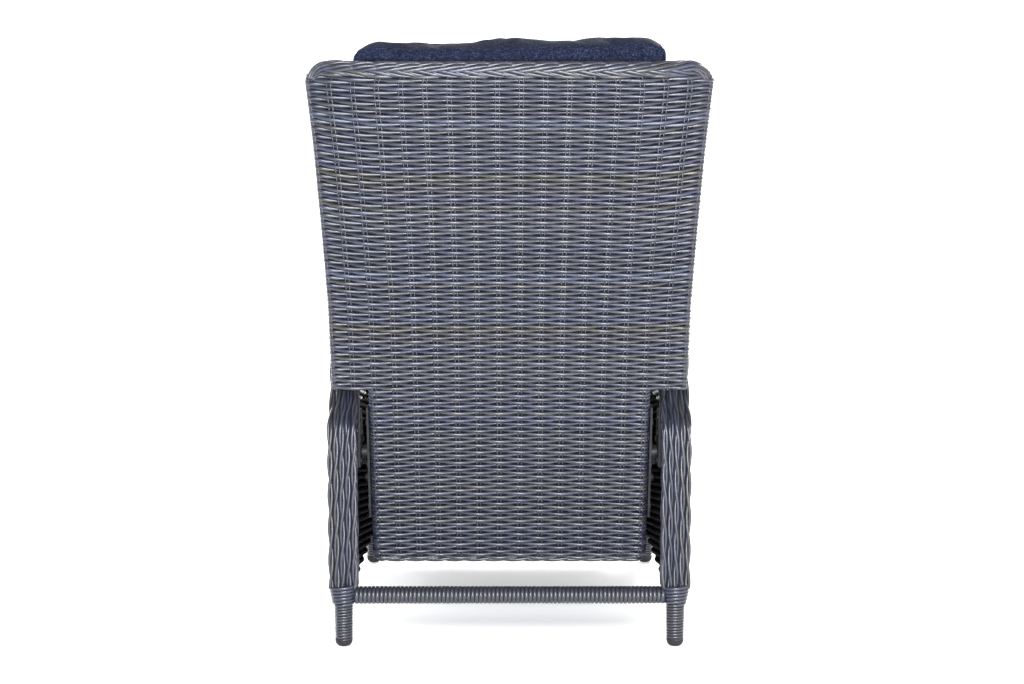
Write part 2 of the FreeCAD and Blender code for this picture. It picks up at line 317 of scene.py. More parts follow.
def painted_shade_core():
    mat, tree, bsdf = shader("core_painted_shade", 0.85)
    tex = noise(tree, 60.0)
    paint(tree, bsdf, tex.outputs["Fac"], [(0.3, (0.004, 0.005, 0.013)), (0.8, (0.012, 0.014, 0.032))])
    return mat


def cushion_cloth():
    mat, tree, bsdf = shader("cushion_cloth", 0.95, sheen=0.02)
    bsdf.inputs["Specular IOR Level"].default_value = 0.12
    heather = noise(tree, 430.0, 5.0)
    fleck = noise(tree, 190.0, 2.0)
    slow = noise(tree, 14.0, 3.0)
    tone = ramp(tree, heather.outputs["Fac"], [
        (0.32, (0.002, 0.003, 0.009)), (0.50, (0.007, 0.010, 0.024)), (0.66, (0.027, 0.034, 0.065))])
    fade = ramp(tree, slow.outputs["Fac"], [(0.3, (0.80, 0.80, 0.82)), (0.7, (1.0, 1.0, 1.0))])
    colour = mix(tree, "MULTIPLY", 1.0, tone.outputs["Color"], fade.outputs["Color"])
    spots = ramp(tree, fleck.outputs["Fac"], [(0.36, (0.62, 0.66, 0.74)), (0.50, (1.0, 1.0, 1.0)),
                                              (0.64, (1.55, 1.50, 1.42))])
    colour = mix(tree, "MULTIPLY", 0.8, colour, spots.outputs["Color"])
    link(tree, colour, bsdf.inputs["Base Color"])
    coords = tree.nodes.new("ShaderNodeTexCoord")
    height = None
    for direction in ("X", "Z"):
        wave = tree.nodes.new("ShaderNodeTexWave")
        wave.bands_direction = direction
        wave.inputs["Scale"].default_value = 330.0
        wave.inputs["Distortion"].default_value = 1.5
        link(tree, coords.outputs["Object"], wave.inputs["Vector"])
        if height is None:
            height = wave.outputs["Color"]
        else:
            height = mix(tree, "MULTIPLY", 1.0, height, wave.outputs["Color"])
    height = mix(tree, "ADD", 0.6, height, heather.outputs["Color"])
    bump(tree, bsdf, height, 0.35, 0.0006)
    return mat


def powder_coat():
    mat, tree, bsdf = shader("black_powder_coat", 0.62)
    bsdf.inputs["Specular IOR Level"].default_value = 0.3
    tex = noise(tree, 1400.0, 2.0)
    dust = noise(tree, 30.0, 5.0)
    paint(tree, bsdf, dust.outputs["Fac"], [(0.35, (0.006, 0.006, 0.007)), (0.75, (0.018, 0.018, 0.019))])
    bump(tree, bsdf, tex.outputs["Fac"], 0.3, 0.0003)
    return mat


def bare_steel(name, tone_low, tone_high, rough):
    mat, tree, bsdf = shader(name, rough, metal=1.0)
    tex = noise(tree, 260.0, 4.0, (1.0, 12.0, 12.0))
    paint(tree, bsdf, tex.outputs["Fac"], [(0.3, tone_low), (0.7, tone_high)])
    bump(tree, bsdf, tex.outputs["Fac"], 0.1, 0.0002)
    return mat


def moulded_plastic():
    mat, tree, bsdf = shader("foot_plastic", 0.6)
    bsdf.inputs["Specular IOR Level"].default_value = 0.25
    tex = noise(tree, 700.0, 3.0)
    paint(tree, bsdf, tex.outputs["Fac"], [(0.3, (0.010, 0.010, 0.013)), (0.7, (0.022, 0.022, 0.026))])
    bump(tree, bsdf, tex.outputs["Fac"], 0.3, 0.0004)
    return mat


def webbing():
    mat, tree, bsdf = shader("seat_webbing", 0.8)
    coords = tree.nodes.new("ShaderNodeTexCoord")
    tex = tree.nodes.new("ShaderNodeTexBrick")
    tex.inputs["Scale"].default_value = 1.0
    tex.inputs["Brick Width"].default_value = 0.05
    tex.inputs["Row Height"].default_value = 0.05
    tex.inputs["Mortar Size"].default_value = 0.002
    tex.inputs["Color1"].default_value = (0.020, 0.020, 0.022, 1)
    tex.inputs["Color2"].default_value = (0.034, 0.034, 0.037, 1)
    tex.inputs["Mortar"].default_value = (0.004, 0.004, 0.004, 1)
    link(tree, coords.outputs["Object"], tex.inputs["Vector"])
    link(tree, tex.outputs["Color"], bsdf.inputs["Base Color"])
    bump(tree, bsdf, tex.outputs["Fac"], 0.6, 0.001)
    return mat


WICKER = wicker("wicker_strand", 1.0, 0.75, 0.26)
# The inside copy is painted shade: strands darkened and made dull, for the arms' inner faces under the seat.
WICKER_PAINTED_SHADE = wicker("wicker_strand_painted_shade", 0.14, 0.04, 0.70)
CORE_PAINTED_SHADE = painted_shade_core()
CLOTH = cushion_cloth()
POWDER = powder_coat()
# Zinc is painted near black: painted shade for the bolts and pins that sit in shadowed gaps.
ZINC_IN_PAINTED_SHADE = bare_steel("zinc_steel", (0.045, 0.046, 0.050), (0.085, 0.085, 0.090), 0.6)
CHROME = bare_steel("chromed_ram", (0.70, 0.70, 0.71), (0.80, 0.80, 0.81), 0.12)
PLASTIC = moulded_plastic()
WEBBING = webbing()


def dress_cad():
    # Imported wicker parts take the painted-shade colour of the sheets behind the weave.
    by_slot = {"black_steel": POWDER, "zinc_steel": ZINC_IN_PAINTED_SHADE, "bright_steel": CHROME, "black_plastic": PLASTIC,
               "wicker": CORE_PAINTED_SHADE, "cushion_fabric": CLOTH}
    for part in frame["record"]["subparts"]:
        node = frame["nodes"][part["node"]]
        material = by_slot[part["material_slot"]]
        if part["node"] == "seat_deck":
            material = WEBBING
        node.data.materials.clear()
        node.data.materials.append(material)


# ---- woven back

# The wide upper back: its half width at several heights, and the bow of its wings.
UPPER_V = (0.0, 0.184, 0.322, 0.459, 0.616)
UPPER_HALF = (0.334, 0.337, 0.345, 0.354, 0.368)
UPPER_FIRST_ROW = 0.0273
UPPER_TOP = 0.613
WING_BOW = 0.025
WING_START = 0.180
PANEL_HALF_THICK = 0.010
PANEL_INSET = 0.002
CORE_DEPTH = 0.0068

# Stakes from the middle of a panel to where its face starts to turn, and the half gap of a pair.
UPPER_FLAT = 8.25
LOWER_FLAT = 6.5
STAKE_PAIR = 0.085
STAKE_OVER = 0.004
BACK_FLIP = -1.0

# The narrow lower back.
LOWER_HALF = 0.266
LOWER_LENGTH = 0.328
LOWER_CORNER = 0.018
HEM_UP = 0.0035
HEM_WAVE = 0.0022
HEM_SWAY = 0.0016

# The rim's centre line: its height, its half width, and the radius of its two corners.
RIM_V = 0.619
RIM_X = 0.354
RIM_TURN = 0.030


def bow(x, v):
    """How far the wings come forward."""
    over = np.maximum(0.0, np.abs(x) - WING_START) / (RIM_X - WING_START)
    return WING_BOW * over * over * v / RIM_V


def half_at(v):
    """Half width of the upper back, rounded off under the rim's corners."""
    half = np.interp(v, UPPER_V, UPPER_HALF)
    corner = RIM_V - RIM_TURN
    rise = np.clip(v - corner, 0.0, RIM_TURN)
    under_rim = 0.012
    rounded = RIM_X - RIM_TURN + np.sqrt(RIM_TURN ** 2 - rise ** 2) + under_rim
    return np.where(v > corner, np.minimum(half, rounded), half)


def sleeve(t, half, flat):
    """Goes round a flat sleeve: t counts stakes from the middle of the rear face."""
    r = PANEL_HALF_THICK
    inner = half - PANEL_INSET - r
    a = np.abs(t)
    side = np.sign(t)
    turn = np.clip(a - flat, 0.0, 1.0) * math.pi
    back = np.minimum(a, flat) / flat
    front = np.clip(a - flat - 1.0, 0.0, flat) / flat
    x = inner * (back - front) + r * np.sin(turn)
    w = r * np.cos(turn)
    return side * x, w


def calm_edge(flat):
    """Strands lie close together where they go round the edge of a sleeve."""
    calmed = 0.85
    width = 0.55
    return lambda t: 1.0 - calmed * np.exp(-((np.abs(t) - flat - 0.5) / width) ** 4)


def smile(x, v):
    """Rows rise a little towards both edges, most of all half way up."""
    rise = 0.0130
    out = np.clip((np.abs(x) - 0.190) / 0.160, 0.0, 1.0)
    strength = np.clip(v / 0.300, 0.0, 1.0) * (1.0 - 0.7 * np.clip((v - 0.500) / 0.110, 0.0, 1.0))
    return rise * out * out * strength


def upper_place(t, v):
    t, v = pair(t, v)
    x, w = sleeve(t, half_at(v), UPPER_FLAT)
    return lean(x, BACK_MID + w - bow(x, v), v + smile(x, v))


def lower_place(t, v):
    t, v = pair(t, v)
    rise = np.clip(-v - (LOWER_LENGTH - LOWER_CORNER), 0.0, LOWER_CORNER)
    half = LOWER_HALF - LOWER_CORNER + np.sqrt(LOWER_CORNER ** 2 - rise ** 2)
    x, w = sleeve(t, half, LOWER_FLAT)
    return lean(x, BACK_MID + w, v)


def core_sheet(place, t_end, v_low, v_high, depth, flip):
    """A dark sheet behind the strands, so that nothing shows through between them; its colour is painted
    shade.
    """
    t = np.linspace(-t_end, t_end, 150)
    v = np.linspace(v_low, v_high, 30)
    tt, vv = np.meshgrid(t, v)
    return place(tt, vv) - normals_of(place, tt, vv, flip) * depth


def build_upper():
    reach = 13.0
    rows = np.arange(UPPER_FIRST_ROW, UPPER_TOP, ROW)
    middle = len(rows) // 2 // 2 * 2
    for name, part in (("upper_weave_low", rows[:middle]), ("upper_weave_high", rows[middle:])):
        bundle = Bundle()
        weave(bundle, upper_place, part, [(-reach, reach)] * len(part), 1.0, BACK_FLIP, per_pitch=7,
              calm=calm_edge(UPPER_FLAT))
        marks = np.arange(-reach + 0.5, reach, 1.0)
        stakes(bundle, upper_place, marks, part[0] - STAKE_OVER, part[-1] + STAKE_OVER, STAKE_PAIR, BACK_FLIP)
        hides = ("back_upper_panel",) if name.endswith("low") else ()
        bundle.build(name, WICKER, "back", hides=hides)
    core = Bundle()
    core.sheet(core_sheet(upper_place, UPPER_FLAT * 2 + 0.99, UPPER_FIRST_ROW - 0.003, UPPER_TOP, CORE_DEPTH,
                          BACK_FLIP))
    core.build("upper_core", CORE_PAINTED_SHADE, "back")


def build_lower():
    rows = np.arange(UPPER_FIRST_ROW - ROW, -LOWER_LENGTH + 0.003, -ROW)[::-1]
    reach = LOWER_FLAT * 2 + 1.0
    bundle = Bundle()
    weave(bundle, lower_place, rows, [(-reach, reach)] * len(rows), 1.0, BACK_FLIP,
          first=len(rows) % 2, calm=calm_edge(LOWER_FLAT))
    marks = np.arange(-reach + 0.5, reach, 1.0)
    stakes(bundle, lower_place, marks, rows[0], rows[-1] + STAKE_OVER, STAKE_PAIR, BACK_FLIP)
    bundle.build("lower_weave", WICKER, "back", hides=("back_lower_panel",))
    core = Bundle()
    core.sheet(core_sheet(lower_place, reach - 0.01, rows[0], rows[-1] + 0.005, CORE_DEPTH, BACK_FLIP))
    core.build("lower_core", CORE_PAINTED_SHADE, "back")
    build_hem(reach)


def build_hem(reach):
    """Two strands crossing each other along the lower back's edge."""
    hem = Bundle()
    t = np.linspace(-reach, reach, 190)
    for k in (0, 1):
        turn = (t + k) * math.pi
        wave = HEM_WAVE * np.sin(turn)
        v = -LOWER_LENGTH + HEM_UP + HEM_SWAY * np.cos(turn)
        n = normals_of(lower_place, t, np.maximum(v, -LOWER_LENGTH + 0.002), BACK_FLIP)
        hem.strand(lower_place(t, v) + n * wave[:, None], n, 0.0026, 0.0034)
    hem.build("lower_hem", WICKER, "back")


# ---- rim

# The distance between two chevrons of the plait, the length of each, and the least that is laid.
CHEVRON = 0.0410
CHEVRON_RUN = 0.092
CHEVRON_LEAST = 0.02
CHEVRON_LOW_R = 0.0086
CHEVRON_ARCH = 0.0054
CROWN_R = 0.0128
CROWN_ARCH = 0.0016
RIM_CORE_R = 0.0105

# The rim gets thinner over its last stretch, down to a part of its radius.
RIM_TAPER = 0.035
RIM_THIN = 0.60


def rim_curve(n):
    """Centre line of the rim in the back's frame, with its outward direction in x and v."""
    start_angle = 0.55
    arc = RIM_TURN * (math.pi / 2 - start_angle)
    flat = 2 * (RIM_X - RIM_TURN)
    total = 2 * arc + flat
    s = np.linspace(0, total, n)
    x = np.empty(n)
    v = np.empty(n)
    nx = np.empty(n)
    nv = np.empty(n)
    for i, d in enumerate(s):
        e = min(d, total - d)
        if e < arc:
            a = start_angle + e / RIM_TURN
            px = RIM_X - RIM_TURN + RIM_TURN * math.cos(a)
            pv = RIM_V - RIM_TURN + RIM_TURN * math.sin(a)
        else:
            a = math.pi / 2
            px, pv = RIM_X - RIM_TURN - (e - arc), RIM_V
        sign = -1.0 if d < total / 2 else 1.0
        x[i], v[i] = sign * px, pv
        nx[i], nv[i] = sign * math.cos(a), math.sin(a)
    return s, x, v, nx, nv


def rim_point(curve, s, angle, radius):
    """A point on the rim's surface: angle 0 is outward, +90 degrees is the rear."""
    grid, x, v, nx, nv = curve
    cx = np.interp(s, grid, x)
    cv = np.interp(s, grid, v)
    ox = np.interp(s, grid, nx)
    ov = np.interp(s, grid, nv)
    w = BACK_MID - bow(cx, cv) + radius * np.sin(angle)
    to_end = np.minimum(s, grid[-1] - s)
    radius = radius * np.clip(RIM_THIN + (1.0 - RIM_THIN) * to_end / RIM_TAPER, RIM_THIN, 1.0)
    outward = radius * np.cos(angle)
    point = lean(cx + ox * outward, w, cv + ov * outward)
    normal = lean(ox * np.cos(angle), np.sin(angle), ov * np.cos(angle)) - lean(0.0, 0.0, 0.0)
    return point, normal


def rim_crown(bundle, curve):
    """Two pairs of strands that cross along the rim's outer line."""
    s = np.linspace(0.0, curve[0][-1], 420)
    for centre in (20.0, -22.0):
        for k in (0, 1):
            phase = 2 * math.pi * s / (2 * CHEVRON) + k * math.pi
            angle = np.radians(centre + 15.0 * np.sin(phase))
            point, normal = rim_point(curve, s, angle, CROWN_R + CROWN_ARCH * np.cos(phase))
            bundle.strand(point, normal, 0.0030, 0.0037)


def rim_chevrons(bundle, curve):
    """Short slanting strands on the rim's rear and front. Each family goes from one angle to another."""
    total = curve[0][-1]
    rear = ((34.0, 84.0, 0.0), (52.0, 96.0, 0.5), (150.0, 96.0, 0.25), (142.0, 84.0, 0.75))
    families = rear + tuple((-a0, -a1, lift) for a0, a1, lift in rear)
    run = np.linspace(0.0, 1.0, 15)
    for i in range(int(total / CHEVRON) + 4):
        start = (i - 3) * CHEVRON
        for a0, a1, lift in families:
            along = np.clip(start + run * CHEVRON_RUN + lift * CHEVRON, 0.0, total)
            if along[-1] - along[0] < CHEVRON_LEAST:
                continue
            angle = np.radians(a0 + (a1 - a0) * (0.5 - 0.5 * np.cos(run * math.pi)))
            radius = CHEVRON_LOW_R + CHEVRON_ARCH * np.sin(run * math.pi)
            point, normal = rim_point(curve, along, angle, radius)
            bundle.strand(point, normal, 0.0027, 0.0037)


def build_rim():
    curve = rim_curve(600)
    total = curve[0][-1]
    bundle = Bundle()
    rim_crown(bundle, curve)
    rim_chevrons(bundle, curve)
    bundle.build("rim_plait", WICKER, "back", hides=("back_rim",))
    core = Bundle()
    a = np.linspace(0, 2 * math.pi, 10, endpoint=False)
    ss, aa = np.meshgrid(np.linspace(0.002, total - 0.002, 160), a, indexing="ij")
    core.sheet(rim_point(curve, ss, aa, RIM_CORE_R)[0], wrap=True)
    core.build("rim_core", CORE_PAINTED_SHADE, "back")


# ---- arms

# The woven sides of an arm lie between its two posts and under its rest.
ARM_FRONT = -0.380
ARM_LOW = 0.130
ARM_HIGH = 0.600
ARM_OUTER_X = 0.3390
ARM_INNER_X = 0.2970
SIDE_PITCH = 0.0400
STAKE_GAP = 0.0033

# Inside an arm, the strands below this height are dark: painted shade, as a darkened, dull copy of the
# strand.
SEAT_LINE = 0.455

# The rear post's inner line, as heights and their y, and its outer line, as y and z.
REAR_Z = (0.116, 0.390, 0.412, 0.430, 0.452, 0.490, 0.545, 0.600)
REAR_INNER_Y = (0.250, 0.250, 0.247, 0.234, 0.212, 0.194, 0.180, 0.163)
REAR_OUTER = ((0.290, 0.116), (0.290, 0.300), (0.290, 0.405), (0.286, 0.430), (0.268, 0.449), (0.245, 0.466),
              (0.230, 0.495), (0.219, 0.545), (0.203, 0.600))

# A post in plan: its two faces in x, and its depth into the arm.
POST_IN = 0.289
POST_OUT = 0.3450
POST_DEPTH = 0.040
FRONT_POST_Y = -0.420
POST_LOW = 0.117

# The arm rest: its centre in x, its height over the arm, and the narrowing of its rear end.
REST_X = 0.3175
REST_RISE = 0.048
REST_NARROWING = 0.24
# Its top line from front to rear as y and z, and half its section as x and a share of its height.
REST_LINE = ((-0.4205, 0.601), (-0.4205, 0.620), (-0.4115, 0.637), (-0.389, 0.6465), (-0.200, 0.6485),
             (0.060, 0.6425), (0.183, 0.6305), (0.201, 0.6165), (0.204, 0.602))
REST_SECTION = ((0.0297, 0.02), (0.0297, 0.50), (0.0287, 0.74), (0.0240, 0.90), (0.0150, 0.975))


def arm_weave(bundle, x, sign, low, high=ARM_HIGH):
    """Weaves one face of an arm between two heights. sign is the side that it faces."""
    def place(u, v):
        u, v = pair(u, v)
        return np.stack([np.full(u.shape, x), u, v], -1)

    rows = np.arange(low + 0.004, high - 0.002, ROW)
    ends = np.interp(rows, REAR_Z, REAR_INNER_Y)
    spans = [(ARM_FRONT - 0.002, end + 0.002) for end in ends]
    weave(bundle, place, rows, spans, SIDE_PITCH, sign, phase=0.25)

    def top(u):
        limit = ARM_HIGH
        if u > REAR_INNER_Y[-1]:
            limit = float(np.interp(u, REAR_INNER_Y[::-1], REAR_Z[::-1]))
        return min(limit, high)

    first = (math.floor(ARM_FRONT / SIDE_PITCH) + 0.25) * SIDE_PITCH
    marks = [u for u in np.arange(first, 0.245, SIDE_PITCH) if u > ARM_FRONT + 0.004]
    stakes(bundle, place, marks, rows[0], top, STAKE_GAP, sign, steps=10)


def arm_core(bundle, side):
    z = np.array((ARM_LOW + 0.002, 0.25) + REAR_Z[1:-1] + (ARM_HIGH - 0.002,))
    inset = 0.006
    x0 = side * (ARM_INNER_X + inset)
    x1 = side * (ARM_OUTER_X - inset)
    front = ARM_FRONT + 0.004
    rows = []
    for height, end in zip(z, np.interp(z, REAR_Z, REAR_INNER_Y) - 0.004):
        rows.append([(x0, front, height), (x1, front, height), (x1, end, height), (x0, end, height)])
    bundle.sheet(np.array(rows), wrap=True)


def resample(points, n):
    """Spreads n points evenly along a line and rounds off its corners."""
    out = spread(points, n)
    for _ in range(4):
        out[1:-1] = 0.25 * out[:-2] + 0.5 * out[1:-1] + 0.25 * out[2:]
    return out


def post_ropes(bundle, side, outer, inward):
    """Clads a post: ropes on its end face and on both sides. inward points from the end face into the arm."""
    n = len(outer)
    inset = 0.0050
    end_ropes = 5
    width = POST_OUT - POST_IN
    for k in range(end_ropes):
        x = POST_IN + width * (k + 0.5) / end_ropes
        path = np.column_stack([np.full(n, side * x), outer + inward * inset])
        normal = np.column_stack([np.zeros(n), -inward])
        rope(bundle, path, normal, start=1.3 * k, sign=side)
    for face, out in ((POST_OUT - inset, 1.0), (POST_IN + inset, -1.0)):
        for k in range(3):
            path = np.column_stack([np.full(n, side * face), outer + inward * (0.0155 + 0.0108 * k)])
            normal = np.zeros((n, 3))
            normal[:, 0] = side * out
            rope(bundle, path, normal, start=1.7 * k + 0.6, sign=side)


def post_core(bundle, side, outer, inward):
    inset = 0.0085
    a = outer + inward * inset
    b = outer + inward * (POST_DEPTH - 0.001)
    x0 = side * (POST_IN + inset)
    x1 = side * (POST_OUT - inset)
    corners = ((x0, a), (x1, a), (x1, b), (x0, b))
    bundle.sheet(np.stack([np.column_stack([np.full(len(a), x), yz]) for x, yz in corners], 1), wrap=True)


def build_rest(side, tag):
    line = resample(REST_LINE, 120)
    run = run_along(line)
    other_half = tuple((-x, f) for x, f in REST_SECTION[::-1])
    cross = np.array(REST_SECTION + ((0.0, 1.0),) + other_half)
    reach = run_along(cross * np.array([1.0, REST_RISE]))

    def place(u, v):
        u, v = pair(u, v)
        y = np.interp(u, run, line[:, 0])
        z = np.interp(u, run, line[:, 1])
        x = np.interp(v, reach, cross[:, 0])
        f = np.interp(v, reach, cross[:, 1])
        y = y + (1.0 - f) * 0.006 * np.sign(-0.1 - y) * (np.abs(y + 0.1) > 0.29)
        x = x * (1.0 - REST_NARROWING * np.clip((y - 0.08) / 0.12, 0.0, 1.0) ** 2)
        return np.stack([side * (REST_X + x), y, ARM_HIGH + (z - ARM_HIGH) * f + 0.001], -1)

    bundle = Bundle()
    rows = np.arange(0.0036, reach[-1], ROW)
    weave(bundle, place, rows, [(0.0, run[-1])] * len(rows), SIDE_PITCH, side)
    marks = np.arange(SIDE_PITCH / 2, run[-1], SIDE_PITCH)
    stakes(bundle, place, marks, 0.001, reach[-1] - 0.001, STAKE_GAP, side, steps=22)
    bundle.build("arm_rest_weave_" + tag, WICKER, "frame", hides=("arm_rest_" + tag,))
    core = Bundle()
    u, v = np.meshgrid(np.linspace(0.0, run[-1], 60), np.linspace(0, reach[-1], 24))
    core.sheet(place(u, v) - normals_of(place, u, v, side) * 0.0060)
    core.build("arm_rest_core_" + tag, CORE_PAINTED_SHADE, "frame")


def front_line(n=70):
    """The front post's end face in y and z, and the direction into the arm."""
    z = np.linspace(POST_LOW, ARM_HIGH, n)
    return np.column_stack([np.full(n, FRONT_POST_Y), z]), np.column_stack([np.ones(n), np.zeros(n)])


def rear_line(n=90):
    """The rear post's end face in y and z, and the direction into the arm."""
    outer = resample(REAR_OUTER, n)
    tangent = np.gradient(outer, axis=0)
    tangent /= np.linalg.norm(tangent, axis=1, keepdims=True)
    inward = np.column_stack([-tangent[:, 1], tangent[:, 0]])
    return outer, inward


def build_arm(side, tag):
    outer = Bundle()
    arm_weave(outer, side * ARM_OUTER_X, side, ARM_LOW)
    outer.build("arm_outer_weave_" + tag, WICKER, "frame", hides=("arm_side_" + tag,))
    inner = Bundle()
    arm_weave(inner, side * ARM_INNER_X, -side, SEAT_LINE)
    inner.build("arm_inner_weave_" + tag, WICKER, "frame")
    # Below the seat line the inner face takes the painted-shade strands.
    under = Bundle()
    arm_weave(under, side * ARM_INNER_X, -side, ARM_LOW, SEAT_LINE)
    under.build("arm_under_seat_weave_" + tag, WICKER_PAINTED_SHADE, "frame")
    core = Bundle()
    arm_core(core, side)
    for line, inward in (front_line(), rear_line()):
        post_core(core, side, line, inward)
    core.build("arm_core_" + tag, CORE_PAINTED_SHADE, "frame")
    for end, (line, inward) in (("front", front_line()), ("rear", rear_line())):
        ropes = Bundle()
        post_ropes(ropes, side, line, inward)
        ropes.build(end + "_post_braid_" + tag, WICKER, "frame", hides=(end + "_post_" + tag,))
    build_rest(side, tag)


# ---- wound tubes

# Radii of the wound tubes over their strand. A leg and its collar get wider from the first to the second.
STRETCHER_R = 0.017
RAIL_R = 0.014
LEG_R = (0.0168, 0.0180)
COLLAR_R = (0.0215, 0.0285)

# Distance between two turns, and half the thickness of the strand.
TUBE_PITCH = 0.0079
LEG_PITCH = 0.0056
COLLAR_PITCH = 0.0068
THIN_STRAND = 0.0017
COLLAR_STRAND = 0.0030
WIND_LEAN = 0.0014
WOBBLE = 0.00008

LEG_X = 0.318
FRONT_LEG_Y = -0.400
REAR_LEG_Y = 0.270
RAIL_Z = 0.116
STRETCHER_Z = 0.099
LEG_Z = (0.014, 0.084)
COLLAR_Z = (0.083, 0.118)

# The foot cap's outline from the middle of its underside up its side, as radius and z.
FOOT_OUTLINE = ((0.0005, 0.0), (0.0070, 0.0002), (0.0115, 0.0016), (0.0148, 0.0050), (0.0162, 0.0095),
                (0.0166, 0.0140), (0.0160, 0.0165))


def wound(node, start, end, radii, pitch, out=THIN_STRAND, lean_by=0.0):
    """A tube wound with one strand from start to end. radii are those at its two ends."""
    r0, r1 = radii
    a = np.array(start)
    b = np.array(end)
    length = np.linalg.norm(b - a)
    along = (b - a) / length
    ref = np.array([1.0, 0, 0]) if abs(along[0]) < 0.5 else np.array([0, 0, 1.0])
    e1 = np.cross(along, ref)
    e1 /= np.linalg.norm(e1)
    e2 = np.cross(along, e1)
    turns = length / pitch
    n = int(turns * 18)
    q = np.linspace(0, 1, n)
    angle = 2 * math.pi * turns * q
    radius = r0 + (r1 - r0) * q - out
    radial = np.cos(angle)[:, None] * e1 + np.sin(angle)[:, None] * e2
    wobble = RNG.normal(0, WOBBLE, n) + lean_by * np.sin(angle)
    path = a + along * (q * length + wobble)[:, None] + radial * radius[:, None]
    bundle = Bundle()
    bundle.strand(path, radial, out, pitch * 0.5)
    bundle.build(node + "_winding", WICKER, "frame", hides=(node,))
    # The tube under the winding takes the painted-shade colour.
    core = Bundle()
    ring = np.arange(24) * 2 * math.pi / 24
    disc = np.cos(ring)[:, None] * e1 + np.sin(ring)[:, None] * e2
    grid = np.stack([a + disc * (r0 - 2.0 * out), b + disc * (r1 - 2.0 * out)])
    core.sheet(grid, wrap=True)
    core.build(node + "_core", CORE_PAINTED_SHADE, "frame")


def domed_foot(node, x, y):
    """A foot cap that curves in to its middle at the floor."""
    bundle = Bundle()
    bundle.sheet(lathe(FOOT_OUTLINE, 28) + np.array([x, y, 0.0]), wrap=True)
    bundle.build(node + "_dome", PLASTIC, "frame", hides=(node,))


def build_wound():
    wound("rear_stretcher", (-0.297, REAR_LEG_Y, STRETCHER_Z), (0.297, REAR_LEG_Y, STRETCHER_Z),
          (STRETCHER_R, STRETCHER_R), TUBE_PITCH, lean_by=0.0018)
    wound("front_stretcher", (-0.306, -0.345, RAIL_Z), (0.306, -0.345, RAIL_Z), (RAIL_R, RAIL_R), TUBE_PITCH,
          lean_by=WIND_LEAN)
    for side, tag in ((1, "left"), (-1, "right")):
        x = side * LEG_X
        wound("side_rail_" + tag, (x, -0.380, RAIL_Z), (x, 0.250, RAIL_Z), (RAIL_R, RAIL_R), TUBE_PITCH,
              lean_by=WIND_LEAN)
        for end, y in (("front", FRONT_LEG_Y), ("rear", REAR_LEG_Y)):
            wound(end + "_leg_" + tag, (x, y, LEG_Z[0]), (x, y, LEG_Z[1]), LEG_R, LEG_PITCH)
            domed_foot(end + "_foot_" + tag, x, y)
            wound(end + "_collar_" + tag, (x, y, COLLAR_Z[0]), (x, y, COLLAR_Z[1]), COLLAR_R, COLLAR_PITCH,
                  out=COLLAR_STRAND, lean_by=WIND_LEAN)


# ---- footrest and seat front

FOOT_Y = -0.399
FOOT_HALF = 0.262
FOOT_LOW = 0.098
FOOT_HIGH = 0.340
FOOT_FLAT = 6.5
FOOT_THINNER = 0.75

# The rolled edge: strands that wind round a line, one turn per lay.
EDGE_Z = 0.082
EDGE_R = 0.0098
EDGE_LAY = 0.085
EDGE_STRANDS = 6

APRON_Y = -0.380
APRON_HALF = 0.266
APRON_LOW = 0.3385
APRON_HIGH = 0.360
APRON_PITCH = 0.0385


def build_footrest():
    def place(t, v):
        t, v = pair(t, v)
        x, w = sleeve(t, np.full(t.shape, FOOT_HALF), FOOT_FLAT)
        return np.stack([x, FOOT_Y - w * FOOT_THINNER, v], -1)

    rows = np.arange(FOOT_LOW, FOOT_HIGH, ROW)
    reach = 2 * FOOT_FLAT + 1.0
    bundle = Bundle()
    weave(bundle, place, rows, [(-reach, reach)] * len(rows), 1.0, calm=calm_edge(FOOT_FLAT))
    marks = np.arange(-reach + 0.5, reach, 1.0)
    stakes(bundle, place, marks, rows[0] - STAKE_OVER, rows[-1] + 0.003, STAKE_PAIR)
    bundle.build("footrest_weave", WICKER, "footrest", hides=("footrest_panel",))
    core = Bundle()
    core.sheet(core_sheet(place, reach - 0.01, FOOT_LOW - 0.004, FOOT_HIGH + 0.001, 0.0050, 1.0))
    core.build("footrest_core", CORE_PAINTED_SHADE, "footrest")
    edge = Bundle()
    x = np.linspace(-FOOT_HALF, FOOT_HALF, 240)
    for k in range(EDGE_STRANDS):
        a = 2 * math.pi * (x / EDGE_LAY + k / EDGE_STRANDS)
        path = np.stack([x, FOOT_Y + EDGE_R * np.cos(a), EDGE_Z + EDGE_R * np.sin(a)], -1)
        normal = np.stack([np.zeros_like(x), np.cos(a), np.sin(a)], -1)
        edge.strand(path, normal, 0.0030, 0.0050)
    edge.build("footrest_edge_twist", WICKER, "footrest", hides=("footrest_edge",))


def build_apron():
    """A short woven band covers the seat's front tube under the cushion."""
    def place(u, v):
        u, v = pair(u, v)
        return np.stack([u, np.full(u.shape, APRON_Y), v], -1)

    bundle = Bundle()
    rows = np.arange(APRON_LOW, APRON_HIGH, ROW)
    weave(bundle, place, rows, [(-APRON_HALF, APRON_HALF)] * len(rows), APRON_PITCH)
    bundle.build("seat_front_weave", WICKER, "frame")


# ---- cushions

VOXEL = 0.0065
CLOTH_FRAMES = 20
MOST_SHIFT = 0.026
PIPING_R = 0.0026

# The back cushion along the slope: its ends, its cross channels, and its half widths at both ends.
BACK_LOW = -0.030
BACK_TOP = 0.655
BACK_CHANNELS = (0.145, 0.315, 0.485)
CHANNEL_DEPTH = 0.022
CHANNEL_WIDTH = 0.014
PUFF = 0.011
CROWN = 0.010
BACK_HALF_LOW = 0.266
BACK_HALF_TOP = 0.286

